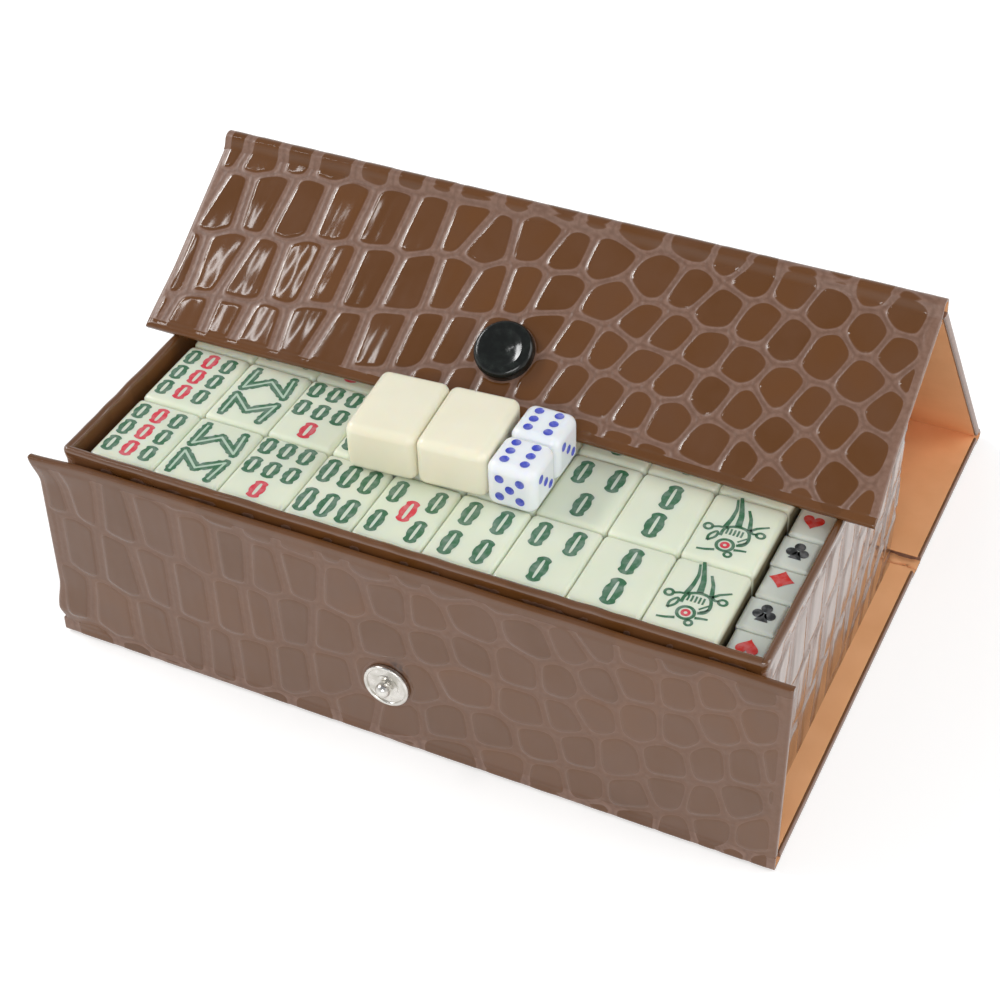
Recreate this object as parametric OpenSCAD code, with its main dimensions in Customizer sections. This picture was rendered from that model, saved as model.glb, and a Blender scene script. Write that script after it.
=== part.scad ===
// Travel mahjong case, shown open: a folding cover of five board panels in
// embossed plastic skin, a board tray glued on the bottom panel, and a
// mahjong set packed in the tray. Origin on the table under the tray's centre,
// +X along the case, +Y towards the back, +Z up.

/* [Tiles] */
// Width of a tile, along the case
tile_w = 15; // [12:0.5:18]
// Length of a tile, from front to back
tile_d = 20; // [16:0.5:24]
// Thickness of a tile
tile_h = 11; // [8:0.5:14]
// Rounding of a tile's edges
tile_r = 1.3; // [0.6:0.1:2]
// Space between neighbouring tiles
tile_gap = 0.06; // [0.04:0.01:0.2]
// Tiles side by side along the case
tile_columns = 9; // [6:1:10]
// Tiles one behind the other
tile_rows = 4; // [2:1:5]

/* [Suit blocks] */
// Width of a suit block, along the case
block_w = 7.8; // [6:0.2:10]
// Length of a suit block, from front to back
block_d = 9; // [7:0.2:11]
// Thickness of a suit block
block_h = 6.9; // [5:0.1:8]
// Rounding of a suit block's edges
block_r = 0.9; // [0.4:0.1:1.5]
// Suit blocks one behind the other
block_rows = 9; // [4:1:9]
// Suit blocks on top of each other
block_layers = 6; // [1:1:6]

/* [Loose pieces] */
// Edge of a die
die_size = 10; // [8:0.5:11]
// Rounding of a die's edges
die_r = 2; // [1:0.1:3]
// Radius of a pip's mouth
pip_r = 1; // [0.5:0.05:1.1]
// Depth of a pip
pip_depth = 0.35; // [0.2:0.05:0.6]
// Turn of the two blank tiles that lie on the set
blank_turn = 4; // [0:0.5:8]
// Space between the loose pieces
loose_gap = 0.2; // [0.1:0.05:1]
// Space between the loose pieces and the lid flap's free edge
edge_gap = 0.3; // [0.3:0.1:5]

/* [Tray] */
// Thickness of a wall board
wall_board_t = 1.2; // [0.8:0.1:2.5]
// Thickness of the skin that wraps the walls, on each side
wrap_t = 0.3; // [0.2:0.05:0.6]
// Thickness of the floor board
floor_board_t = 1.6; // [1:0.1:3]
// Thickness of the paper on the floor
floor_paper_t = 0.3; // [0.1:0.05:0.6]
// Height of the rim over the packed tiles
rim_above_tiles = 2; // [1:0.1:5]
// Play between the left wall and the tiles
play_left = 2.4; // [0.5:0.1:5]
// Play between the front wall and the tiles
play_front = 0.8; // [0.3:0.1:3]
// Play between the tiles and the back wall
play_back = 1.9; // [0.3:0.1:3]
// Play on each side of the suit blocks
play_blocks = 0.7; // [0.3:0.1:2]
// Rounding of the tray's upright corners
tray_corner_r = 1.4; // [0.6:0.1:2.5]

/* [Cover] */
// Thickness of a cover board
board_t = 1.4; // [1:0.1:2.5]
// Thickness of the embossed skin
skin_t = 0.4; // [0.2:0.05:0.8]
// Thickness of the orange lining and of the skin turned in beside it
lining_t = 0.3; // [0.1:0.05:0.6]
// Width of the turned-in skin that borders the lining
border_w = 2; // [1:0.25:6]
// Overhang of the cover past each end of the tray
cover_overhang = 5.5; // [1:0.5:10]
// Half of the flexible groove between two boards
groove_half = 2.6; // [2.4:0.1:4]
// Thickness of the skin and lining together in a groove
web_t = 0.7; // [0.4:0.05:1]
// Radius of the bead that a groove folds round
bead_r = 0.9; // [0.6:0.05:1]
// Clearance between a bead and the web that turns round it
bead_clearance = 0.12; // [0.08:0.02:0.3]
// Rounding of a panel's edges, no more than its flat web leaves room for
panel_edge_r = 0.6; // [0.45:0.05:0.65]
// Clearance between the tray and the back panel when this is raised
back_clearance = 0.35; // [0.2:0.05:1.5]
// Gap between the tray and the front flap's fold
front_gap = 2.25; // [1.5:0.25:5]
// Length by which the lid reaches past the front flap when the case is shut
lid_extra = 0.8; // [0.3:0.1:3]
// Space over the tray's rims when the case is shut
lid_clearance = 0.2; // [0.1:0.05:1]
// Front flap's top edge below the rim
front_flap_drop = 2.3; // [1:0.1:6]
// Length of the lid flap from its fold to its free edge
lid_flap_len = 44.6; // [40:0.2:48]
// Angle that the lid flap makes with the lid's own direction
lid_flap_turn = 85; // [75:1:90]
// Lean of the front flap towards the tray
front_lean = 2.2; // [0:0.1:2.2]
// Space between the lid flap's free edge and the rims that it rests on
rest_gap = 0.15; // [0.1:0.05:0.5]

/* [Press stud] */
// Distance of the stud above the front flap's fold
stud_height = 15.3; // [12:0.5:24]
// Distance of the cap from the lid flap's fold
cap_drop = 31.5; // [20:0.5:36]
// Place of the press stud along the case
stud_x = -1.2; // [-20:0.2:20]
// Radius of the black cap
cap_r = 6.3; // [5:0.1:8]
// Height of the black cap
cap_h = 2.6; // [1.5:0.1:4]
// Radius of the metal stud's flange
stud_r = 5; // [4:0.1:6]
// Radius of the stud's ball
ball_r = 1.6; // [1.2:0.05:2]
// Height of the stud's neck under its ball
neck_h = 0.3; // [0.2:0.05:0.8]
// Radius of the shanks that pass through the flaps
shank_r = 1.3; // [0.8:0.05:1.6]
// Clearance round a shank in its hole
shank_clearance = 0.1; // [0.05:0.05:0.3]
// Thickness of the metal sheet
metal_t = 0.5; // [0.3:0.05:0.8]

/* [Hidden] */

$fn = 48;
eps = 0.01;

skin_colour = [0.43, 0.27, 0.18];
board_colour = [0.62, 0.6, 0.56];
lining_colour = [0.8, 0.52, 0.32];
tile_colour = [0.92, 0.92, 0.82];
metal_colour = [0.78, 0.76, 0.74];

// Tray, from the set that it holds
wall_t = wall_board_t + 2 * wrap_t;
floor_t = floor_board_t + floor_paper_t;
tile_layers = 4;
step_x = tile_w + tile_gap;
step_y = tile_d + tile_gap;
tiles_w = tile_columns * step_x - tile_gap;
tiles_d = tile_rows * step_y - tile_gap;
tiles_h = tile_layers * tile_h;
slot_w = block_w + 2 * play_blocks;
tray_w = 2 * wall_t + play_left + tiles_w + slot_w;
tray_d = 2 * wall_t + play_front + tiles_d + play_back;
tray_h = floor_t + tiles_h + rim_above_tiles;

// Cover, from the tray that it closes round
panel_t = skin_t + board_t + lining_t;
cover_w = tray_w + 2 * cover_overhang;
axis_z = panel_t / 2;
floor_z = panel_t;
tiles_z = floor_z + floor_t;
tiles_top = tiles_z + tiles_h;
rim_z = panel_t + tray_h;
front_axis_y = -tray_d / 2 - front_gap - panel_t / 2;
back_axis_y = tray_d / 2 + back_clearance + panel_t / 2;
bottom_len = back_axis_y - front_axis_y;
back_len = rim_z + lid_clearance + panel_t / 2 - axis_z;
lid_len = bottom_len + panel_t + lid_extra;
front_flap_len = rim_z - front_flap_drop - axis_z;
front_flap_angle = 90 - front_lean;

// Lid, leaning so that the lid flap's free edge comes to rest on the rims
far_axis_y = back_axis_y + back_len;
edge_rise = rim_z + rest_gap + panel_t / 2 - axis_z;
lid_reach = sqrt(pow(lid_len, 2) + pow(lid_flap_len, 2)
                 + 2 * lid_len * lid_flap_len * cos(lid_flap_turn));
lid_angle = 180 - asin(edge_rise / lid_reach)
            - asin(lid_flap_len * sin(lid_flap_turn) / lid_reach);
lid_flap_angle = lid_angle + lid_flap_turn;

// Set, from the tray's inner corner
tiles_x0 = -tray_w / 2 + wall_t + play_left;
tiles_y0 = -tray_d / 2 + wall_t + play_front;
blocks_x0 = tiles_x0 + tiles_w + play_blocks;
blocks_pitch = (tray_d - 2 * wall_t) / block_rows;

// Loose pieces, in front of the lid flap's free edge: middle of the left
// blank tile, and middle of the front die
loose_back_y = far_axis_y + lid_len * cos(lid_angle)
               + lid_flap_len * cos(lid_flap_angle) - panel_t / 2 - edge_gap;
blank_step = tile_w + loose_gap / 2;
blank_x = tiles_x0 + 3.83 * tile_w;
blank_y = loose_back_y - tile_d / 2 * cos(blank_turn)
          - (blank_step + tile_w / 2) * sin(blank_turn);
dice_x = blank_x + blank_step + tile_w / 2 + tile_d / 2 * sin(blank_turn)
         + 2 * loose_gap + die_size / 2;
dice_y = loose_back_y - 1.5 * die_size - loose_gap / 2;
pip_pitch = 0.27 * die_size;

// Places a panel's pieces: each panel lies along +Y from its fold at the
// origin, with its inner face up
module on_bottom() translate([0, front_axis_y, axis_z]) children();
module on_front_flap() translate([0, front_axis_y, axis_z])
    rotate([front_flap_angle, 0, 0]) mirror([0, 0, 1]) children();
module on_back() translate([0, back_axis_y, axis_z]) children();
module on_lid() translate([0, far_axis_y, axis_z]) rotate([lid_angle, 0, 0]) children();
module on_lid_flap() on_lid() translate([0, lid_len, 0])
    rotate([lid_flap_turn, 0, 0]) children();

// Rectangle with true round corners, from a corner
module round_rect(w, d, r) {
    translate([r, 0]) square([w - 2 * r, d]);
    translate([0, r]) square([w, d - 2 * r]);
    for (x = [r, w - r], y = [r, d - r]) translate([x, y]) circle(r);
}

// Block rounded on all its edges, from a corner
module round_block(w, d, h, r) {
    intersection() {
        linear_extrude(h) round_rect(w, d, r);
        rotate([90, 0, 90]) linear_extrude(w) round_rect(d, h, r);
        translate([0, d, 0]) rotate([90, 0, 0]) linear_extrude(d) round_rect(w, h, r);
    }
}

// Board of a panel, from y0 to y1
module panel_board(y0, y1, hole_y = 0) {
    color(board_colour) difference() {
        translate([-cover_w / 2 + skin_t, y0 + skin_t, -panel_t / 2 + skin_t])
            cube([cover_w - 2 * skin_t, y1 - y0 - 2 * skin_t, board_t]);
        if (hole_y > 0) stud_hole(hole_y);
    }
}

// Window that the lining fills in the turned-in skin
module lining_window(y0, y1, h) {
    translate([-cover_w / 2 + border_w, y0 + border_w, panel_t / 2 - lining_t])
        linear_extrude(h) square([cover_w - 2 * border_w, y1 - y0 - 2 * border_w]);
}

// Lining of a panel
module panel_lining(y0, y1, hole_y = 0) {
    color(lining_colour) difference() {
        lining_window(y0, y1, lining_t);
        if (hole_y > 0) stud_hole(hole_y);
    }
}

// Skin of a panel, turned in round the board on every side
module panel_skin(y0, y1, hole_y = 0, web_at_start = true, web_to = 0) {
    color(skin_colour) {
        difference() {
            translate([-cover_w / 2, y0, -panel_t / 2])
                rotate([90, 0, 90]) linear_extrude(cover_w)
                    round_rect(y1 - y0, panel_t, panel_edge_r);
            translate([-cover_w / 2 + skin_t, y0 + skin_t, -panel_t / 2 + skin_t])
                cube([cover_w - 2 * skin_t, y1 - y0 - 2 * skin_t, board_t]);
            lining_window(y0, y1, lining_t + 1);
            if (hole_y > 0) stud_hole(hole_y);
        }
        if (web_at_start) web(bead_r + bead_clearance, y0 + skin_t / 2);
        if (web_to > 0) web(y1 - skin_t / 2, web_to - bead_r - bead_clearance);
    }
}

// Flexible strip of skin and lining in a groove, from y0 to y1
module web(y0, y1) {
    translate([-cover_w / 2, y0, -web_t / 2]) cube([cover_w, y1 - y0, web_t]);
}

// Bead that a fold turns round, with its web to the panel that carries it
module fold_bead(web_from, web_to) {
    color(skin_colour) {
        rotate([0, 90, 0]) cylinder(h = cover_w, r = bead_r, center = true);
        if (web_to > web_from) web(web_from, web_to);
    }
}

// Hole for a shank, through a flap's whole thickness
module stud_hole(y) {
    translate([stud_x, y, -panel_t])
        cylinder(h = 2 * panel_t, r = shank_r + shank_clearance);
}

// Front flap
module front_flap_board() on_front_flap() panel_board(groove_half, front_flap_len, stud_height);
module front_flap_skin() on_front_flap() panel_skin(groove_half, front_flap_len, stud_height);
module front_flap_lining() on_front_flap() panel_lining(groove_half, front_flap_len, stud_height);
module front_fold() on_bottom() fold_bead(0, groove_half);

// Bottom panel, which the tray is glued to
bottom_end = bottom_len - groove_half;
module bottom_board() on_bottom() panel_board(groove_half, bottom_end);
module bottom_skin() on_bottom() panel_skin(groove_half, bottom_end, web_at_start = false);
module bottom_lining() on_bottom() panel_lining(groove_half, bottom_end);
module back_fold() on_back() fold_bead(-groove_half, 0);

// Back panel, flat on the table
back_end = back_len - groove_half;
module back_board() on_back() panel_board(groove_half, back_end);
module back_skin() on_back() panel_skin(groove_half, back_end, web_to = back_len);
module back_lining() on_back() panel_lining(groove_half, back_end);
module lid_fold() on_lid() fold_bead(0, 0);

// Lid, leaning forward over the tray
lid_end = lid_len - groove_half;
module lid_board() on_lid() panel_board(groove_half, lid_end);
module lid_skin() on_lid() panel_skin(groove_half, lid_end);
module lid_lining() on_lid() panel_lining(groove_half, lid_end);
module flap_fold() on_lid() translate([0, lid_len, 0]) fold_bead(-groove_half, 0);

// Lid flap, resting on the rims
module lid_flap_board() on_lid_flap() panel_board(groove_half, lid_flap_len, cap_drop);
module lid_flap_skin() on_lid_flap() panel_skin(groove_half, lid_flap_len, cap_drop);
module lid_flap_lining() on_lid_flap() panel_lining(groove_half, lid_flap_len, cap_drop);

// Black cap: a dished dome outside the lid flap, with its shank in the hole
module snap_cap() {
    rim_r = cap_h * 0.46;
    color([0.05, 0.05, 0.05]) on_lid_flap()
        translate([stud_x, cap_drop, -panel_t / 2]) mirror([0, 0, 1]) {
            difference() {
                rotate_extrude() {
                    square([cap_r - rim_r, cap_h]);
                    translate([cap_r - rim_r, 0]) intersection() {
                        translate([0, cap_h - rim_r]) circle(rim_r);
                        square([rim_r, cap_h]);
                    }
                    translate([cap_r - rim_r, 0]) square([rim_r, cap_h - rim_r]);
                }
                translate([0, 0, cap_h + dish_depth_r - dish_depth]) sphere(dish_depth_r, $fn = 64);
            }
            translate([0, 0, -shank_len]) cylinder(h = shank_len + eps, r = shank_r);
        }
}
dish_depth = 0.7;
dish_depth_r = (pow(cap_r * 0.66, 2) + pow(dish_depth, 2)) / (2 * dish_depth);
shank_len = panel_t - metal_t / 2;

// Metal socket inside the lid flap: a cup whose ring snaps over the ball
socket_h = 2 * ball_r + 0.5;
module snap_socket() {
    mouth_r = ball_r - 0.1;
    room_r = ball_r + 0.25;
    cup_r = room_r + metal_t;
    color(metal_colour) on_lid_flap() translate([stud_x, cap_drop, panel_t / 2])
        difference() {
            rotate_extrude() {
                square([cap_r * 0.86, metal_t]);
                square([cup_r, socket_h]);
                translate([cap_r * 0.86 - metal_t / 2, metal_t]) circle(metal_t / 2);
            }
            translate([0, 0, metal_t]) cylinder(h = socket_h - 2 * metal_t, r = room_r);
            translate([0, 0, metal_t]) cylinder(h = socket_h, r = mouth_r);
        }
}

// Metal stud outside the front flap: a rimmed flange, a neck and a ball
module snap_stud() {
    rim = metal_t * 0.8;
    ball_z = metal_t + neck_h + ball_r * 0.6;
    color(metal_colour) on_front_flap() translate([stud_x, stud_height, -panel_t / 2])
        mirror([0, 0, 1]) rotate_extrude() {
            square([stud_r, metal_t]);
            translate([stud_r - rim, metal_t]) circle(rim);
            square([ball_r * 1.6, metal_t + neck_h / 2]);
            square([ball_r * 0.78, ball_z]);
            translate([0, ball_z]) intersection() {
                circle(ball_r);
                translate([0, -ball_r]) square([ball_r, 2 * ball_r]);
            }
        }
}

// Metal eyelet inside the front flap, with its tube up to the stud
module snap_eyelet() {
    tube_len = panel_t;
    color(metal_colour) on_front_flap() translate([stud_x, stud_height, panel_t / 2])
        difference() {
            rotate_extrude() {
                square([stud_r * 0.82, metal_t]);
                translate([stud_r * 0.5, metal_t]) circle(metal_t / 2);
                translate([0, -tube_len]) square([shank_r, tube_len + eps]);
            }
            translate([0, 0, -tube_len / 2]) cylinder(h = tube_len, r = shank_r * 0.55);
        }
}

// Plan of the tray's walls, between two insets from the outside
module wall_ring(outer_inset, inner_inset) {
    difference() {
        translate([-tray_w / 2 + outer_inset, -tray_d / 2 + outer_inset])
            round_rect(tray_w - 2 * outer_inset, tray_d - 2 * outer_inset,
                       tray_corner_r - outer_inset);
        translate([-tray_w / 2 + inner_inset, -tray_d / 2 + inner_inset])
            square([tray_w - 2 * inner_inset, tray_d - 2 * inner_inset]);
    }
}

// Skin round the walls, over the rim and down inside
module tray_wrap() {
    color(skin_colour) translate([0, 0, floor_z]) difference() {
        linear_extrude(tray_h) wall_ring(0, wall_t);
        translate([0, 0, -1]) linear_extrude(tray_h - wrap_t + 1)
            wall_ring(wrap_t, wrap_t + wall_board_t);
        translate([0, 0, -1]) linear_extrude(floor_board_t + 1)
            wall_ring(wrap_t, wall_t + 1);
    }
}

// Board of one wall, the part of the ring inside a box from y0 to y1
module wall_board(x0, x1, y0, y1) {
    color(board_colour) translate([0, 0, floor_z]) linear_extrude(tray_h - wrap_t)
        intersection() {
            wall_ring(wrap_t, wrap_t + wall_board_t);
            translate([x0, y0]) square([x1 - x0, y1 - y0]);
        }
}
wall_in_x = tray_w / 2 - wrap_t - wall_board_t;
wall_in_y = tray_d / 2 - wrap_t - wall_board_t;
module tray_front_wall() wall_board(-tray_w / 2, tray_w / 2, -tray_d / 2, -wall_in_y);
module tray_back_wall() wall_board(-tray_w / 2, tray_w / 2, wall_in_y, tray_d / 2);
module tray_left_wall() wall_board(-tray_w / 2, -wall_in_x, -wall_in_y, wall_in_y);
module tray_right_wall() wall_board(wall_in_x, tray_w / 2, -wall_in_y, wall_in_y);

module tray_floor() {
    color(board_colour) translate([-wall_in_x, -wall_in_y, floor_z])
        cube([2 * wall_in_x, 2 * wall_in_y, floor_board_t]);
}

module tray_floor_paper() {
    color(lining_colour)
        translate([-tray_w / 2 + wall_t, -tray_d / 2 + wall_t, floor_z + floor_board_t])
            cube([tray_w - 2 * wall_t, tray_d - 2 * wall_t, floor_paper_t]);
}

// One tile, from its corner; a plain one is rounded in plan only
module tile(rounded) {
    color(tile_colour) if (rounded) round_block(tile_w, tile_d, tile_h, tile_r);
    else linear_extrude(tile_h) round_rect(tile_w, tile_d, tile_r);
}

// One layer of the set, counted from the floor
module tile_layer(layer, rounded) {
    for (i = [0 : tile_columns - 1], j = [0 : tile_rows - 1])
        translate([tiles_x0 + i * step_x, tiles_y0 + j * step_y, tiles_z + layer * tile_h])
            tile(rounded);
}
module honour_tiles() tile_layer(0, false);
module character_tiles() tile_layer(1, false);
module circle_tiles() tile_layer(2, false);
module bamboo_tiles() tile_layer(3, true);

// Suit blocks in one layer, each a little out of line with the next
module block_layer(layer, rounded) {
    for (j = [0 : block_rows - 1])
        translate([blocks_x0 + (j % 2 == 0 ? 0.2 : -0.2),
                   -tray_d / 2 + wall_t + j * blocks_pitch + (blocks_pitch - block_d) / 2,
                   tiles_z + layer * (block_h + tile_gap)])
            if (rounded) round_block(block_w, block_d, block_h, block_r);
            else linear_extrude(block_h) round_rect(block_w, block_d, block_r);
}
module suit_blocks_top() color("white") block_layer(block_layers - 1, true);
module suit_blocks_below() color("white")
    for (layer = [0 : block_layers - 2]) block_layer(layer, false);

// Blank spare tiles, lying side by side on the set
module blank_tile(i) {
    translate([blank_x, blank_y, tiles_top]) rotate([0, 0, blank_turn])
        translate([i * blank_step - tile_w / 2, -tile_d / 2, 0]) tile(true);
}
module left_blank_tile() blank_tile(0);
module right_blank_tile() blank_tile(1);

// Recesses for one face's pips, on a face that looks along +Z
module pips(places) {
    ball = (pow(pip_r, 2) + pow(pip_depth, 2)) / (2 * pip_depth);
    for (p = places)
        translate([p[0] * pip_pitch, p[1] * pip_pitch, die_size / 2 + ball - pip_depth])
            sphere(ball, $fn = 32);
}
two = [[-0.8, -0.8], [0.8, 0.8]];
three = [[-0.8, -0.8], [0, 0], [0.8, 0.8]];
four = [for (x = [-0.8, 0.8], y = [-0.8, 0.8]) [x, y]];
five = concat(four, [[0, 0]]);
six = [for (x = [-0.8, 0.8], y = [-1, 0, 1]) [x, y]];

// Die with six on top, five in front and three on the right
module die(x, y) {
    color("white") translate([x, y, tiles_top + die_size / 2]) difference() {
        translate([-die_size / 2, -die_size / 2, -die_size / 2])
            round_block(die_size, die_size, die_size, die_r);
        pips(six);
        rotate([180, 0, 0]) pips([[0, 0]]);
        rotate([90, 0, 0]) pips(five);
        rotate([-90, 0, 0]) pips(two);
        rotate([0, 90, 0]) pips(three);
        rotate([0, -90, 0]) pips(four);
    }
}
module front_die() die(dice_x, dice_y);
module back_die() die(dice_x, dice_y + die_size + loose_gap / 2);

front_flap_board();
front_flap_skin();
front_flap_lining();
front_fold();
bottom_board();
bottom_skin();
bottom_lining();
back_fold();
back_board();
back_skin();
back_lining();
lid_fold();
lid_board();
lid_skin();
lid_lining();
flap_fold();
lid_flap_board();
lid_flap_skin();
lid_flap_lining();
snap_cap();
snap_socket();
snap_stud();
snap_eyelet();
tray_floor();
tray_floor_paper();
tray_front_wall();
tray_back_wall();
tray_left_wall();
tray_right_wall();
tray_wrap();
bamboo_tiles();
circle_tiles();
character_tiles();
honour_tiles();
suit_blocks_top();
suit_blocks_below();
left_blank_tile();
right_blank_tile();
front_die();
back_die();
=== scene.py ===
import math
import bpy
import numpy as np
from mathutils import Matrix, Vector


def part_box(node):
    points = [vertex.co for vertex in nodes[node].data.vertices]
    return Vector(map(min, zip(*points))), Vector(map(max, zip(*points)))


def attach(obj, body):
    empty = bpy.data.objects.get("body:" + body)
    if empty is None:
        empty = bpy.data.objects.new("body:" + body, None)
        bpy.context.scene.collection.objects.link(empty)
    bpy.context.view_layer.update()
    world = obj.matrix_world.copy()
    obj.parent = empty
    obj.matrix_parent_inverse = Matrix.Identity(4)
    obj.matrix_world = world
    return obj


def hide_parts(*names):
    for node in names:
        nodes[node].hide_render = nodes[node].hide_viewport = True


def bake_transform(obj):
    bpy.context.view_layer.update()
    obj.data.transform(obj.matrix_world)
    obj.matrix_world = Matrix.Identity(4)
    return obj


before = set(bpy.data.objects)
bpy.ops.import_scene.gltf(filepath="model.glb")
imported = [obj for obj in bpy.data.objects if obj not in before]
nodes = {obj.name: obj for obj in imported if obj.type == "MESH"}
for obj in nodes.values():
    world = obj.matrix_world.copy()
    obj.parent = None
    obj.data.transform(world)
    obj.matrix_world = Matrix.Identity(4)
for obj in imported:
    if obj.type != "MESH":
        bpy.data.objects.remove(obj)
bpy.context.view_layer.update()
bpy.ops.object.select_all(action="DESELECT")


# ---- Studio --------------------------------------------------------------
# The camera stands where the photograph was taken from: to the right of the
# case, in front of it and above it, looking down along a long lens.
bpy.ops.object.camera_add(
    location=(0.1488, -0.29028, 0.31),
    rotation=[math.radians(turn) for turn in (49.1164, 1.5863, 25.5358)])
camera = bpy.context.object
camera.data.lens = 73.97
camera.data.sensor_width = 36
camera.data.clip_start = 0.01
bpy.context.scene.camera = camera
bpy.context.scene.view_settings.view_transform = "Standard"


class Finish:
    """The look of a material, or of the world, mixed from shader nodes."""

    def __init__(self, owner, shader="Principled BSDF"):
        owner.use_nodes = True
        self.owner = owner
        self.nodes, self.links = owner.node_tree.nodes, owner.node_tree.links
        self.shader = self.nodes[shader].inputs
        self.axes = self.node("TexCoord").outputs

    def node(self, kind, inputs={}, **settings):
        """Adds a node with its settings and its inputs."""
        made = self.nodes.new("ShaderNode" + kind)
        for name, value in settings.items():
            setattr(made, name, value)
        for name, value in inputs.items():
            self.put(made.inputs[name], value)
        return made

    def put(self, socket, value):
        """Sets an input to a value, or links another node's output to it."""
        if isinstance(value, bpy.types.NodeSocket):
            self.links.new(value, socket)
        elif socket.type == "RGBA":
            socket.default_value = (*value, 1)
        else:
            socket.default_value = value

    def look(self, inputs):
        """Sets inputs of the main shader."""
        for name, value in inputs.items():
            self.put(self.shader[name], value)

    def calculate(self, operation, first, second):
        return self.node("Math", {0: first, 1: second}, operation=operation).outputs[0]

    def spread(self, value, low, high, to_low=0.0, to_high=1.0):
        """Maps a range of values onto another one."""
        return self.node("MapRange", {
            "Value": value, "From Min": low, "From Max": high,
            "To Min": to_low, "To Max": to_high}).outputs["Result"]

    def noise(self, size, detail=3.0):
        """Fine noise on the object's own coordinates."""
        return self.node("TexNoise", {"Scale": size, "Detail": detail,
                                      "Vector": self.axes["Object"]}).outputs["Fac"]

    def between(self, factor, first, second):
        """A mix of two colours, each a value or a node's output."""
        return self.node("Mix", {0: factor, 6: first, 7: second},
                         data_type="RGBA").outputs[2]

    def mottled(self, grain, low, high, first, second):
        """A mix that goes from one colour to the other between two values."""
        return self.between(self.spread(grain, low, high), first, second)

    def tint(self, factor, colour):
        """Lays a colour over the base colour."""
        base = self.shader["Base Color"]
        self.put(base, self.between(factor, base.links[0].from_socket, colour))

    def bump(self, height, strength, distance):
        relief = self.node("Bump", {"Strength": strength, "Distance": distance,
                                    "Height": height})
        self.look({"Normal": relief.outputs["Normal"]})


def new_finish(name):
    return Finish(bpy.data.materials.new(name))


# A pale floor that looks white to the camera and in reflections, brighter
# farther off, and still takes the case's soft shadow.
bpy.ops.mesh.primitive_plane_add(size=6, location=(0, 0, -0.0002))
floor = bpy.context.object
floor.name = "floor"
white = new_finish("white_floor")
path = white.node("LightPath").outputs
seen_directly = white.calculate(
    "MAXIMUM", white.calculate("MAXIMUM", path["Is Camera Ray"], path["Is Glossy Ray"]),
    path["Is Transmission Ray"])
from_case = white.node("VectorMath", {0: white.axes["Object"]}, operation="LENGTH")
farther = white.spread(from_case.outputs["Value"], 0.3, 1.2, 0.42, 1.0)
white.look({"Base Color": (0.8, 0.8, 0.79), "Roughness": 0.9, "Specular IOR Level": 0,
            "Emission Color": (1, 1, 0.995),
            "Emission Strength": white.calculate("MULTIPLY", seen_directly, farther)})
floor.data.materials.append(white.owner)

# Soft studio light: a room that is bright near the horizon and dimmer
# overhead, two lamps at the left, of which the narrow one draws the streaks
# on the lid flap, and a large lamp each at the right and in front.
world = bpy.data.worlds.new("studio")
bpy.context.scene.world = world
sky = Finish(world, "Background")
sky_axes = sky.node("SeparateXYZ", {0: sky.axes["Generated"]}).outputs
sky_ramp = sky.node("ValToRGB", {0: sky_axes["Z"]})
horizon, overhead = sky_ramp.color_ramp.elements
horizon.position, horizon.color = 0.12, (0.97, 0.97, 0.97, 1)
overhead.position, overhead.color = 0.75, (0.3, 0.31, 0.33, 1)
sky.look({"Strength": 1.0,
          "Color": sky.between(sky.node("LightPath").outputs["Is Camera Ray"],
                               sky_ramp.outputs[0], (1, 1, 1))})


def soft_lamp(name, place, aim, width, length, power):
    bpy.ops.object.light_add(type="AREA", location=place)
    lamp = bpy.context.object
    lamp.name = name
    lamp.data.shape = "RECTANGLE"
    lamp.data.size = width
    lamp.data.size_y = length
    lamp.data.energy = power
    toward = (np.array(aim) - np.array(place)).tolist()
    flat = math.hypot(toward[0], toward[1])
    lamp.rotation_euler = (math.atan2(flat, -toward[2]), 0,
                           math.atan2(-toward[0], toward[1]))


soft_lamp("left_lamp", (-0.9, -0.05, 0.8), (0, 0, 0.03), 0.55, 0.14, 5.5)
soft_lamp("streak_lamp", (-0.66, -0.28, 0.98), (0, 0, 0.05), 0.03, 0.25, 0.35)
soft_lamp("right_lamp", (1.0, 0.35, 0.6), (0, 0, 0.03), 0.8, 0.8, 5)
soft_lamp("front_lamp", (0.35, -1.0, 0.75), (0, 0, 0.03), 0.6, 0.4, 5)


# ---- Cover panels --------------------------------------------------------
# Five stiff boards, each covered outside with one long sheet of glossy brown
# plastic skin that is embossed as crocodile, glued round the boards' edges
# and turned in on the inside round an orange lining.
MM = 0.001
width = 161.68
panel_t = 2.1
border_w = 0.7
groove = 2.6
axis_z = 1.05
front_axis_y = -46.54
back_axis_y = 44.64
far_axis_y = 94.84
bottom_len = back_axis_y - front_axis_y
back_len = far_axis_y - back_axis_y
lid_len = 94.08
lid_flap_len = 44.6
front_flap_len = 46.65
lid_turn = math.radians(127.817)
lid_flap_turn = math.radians(212.817)
front_flap_turn = math.radians(87.8)
far_y = far_axis_y + lid_len * math.cos(lid_turn)
far_z = axis_z + lid_len * math.sin(lid_turn)
# where each fold lies on the unrolled sheet, from the front fold upwards
fold_v = [-lid_len - back_len - bottom_len, -lid_len - back_len, -lid_len, 0.0]

# length of sheet after which the pattern of scales turns back
sheet_repeat = 46
table_size = 64
rng = np.random.default_rng(11)
scale_jitter = rng.uniform(-1, 1, (table_size, table_size, 6))
row_shift = rng.uniform(-0.5, 0.5, table_size)


def smooth(low, high, value):
    """Rises evenly from 0 at low to 1 at high."""
    part = np.clip((value - low) / (high - low), 0, 1)
    return part * part * (3 - 2 * part)


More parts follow.
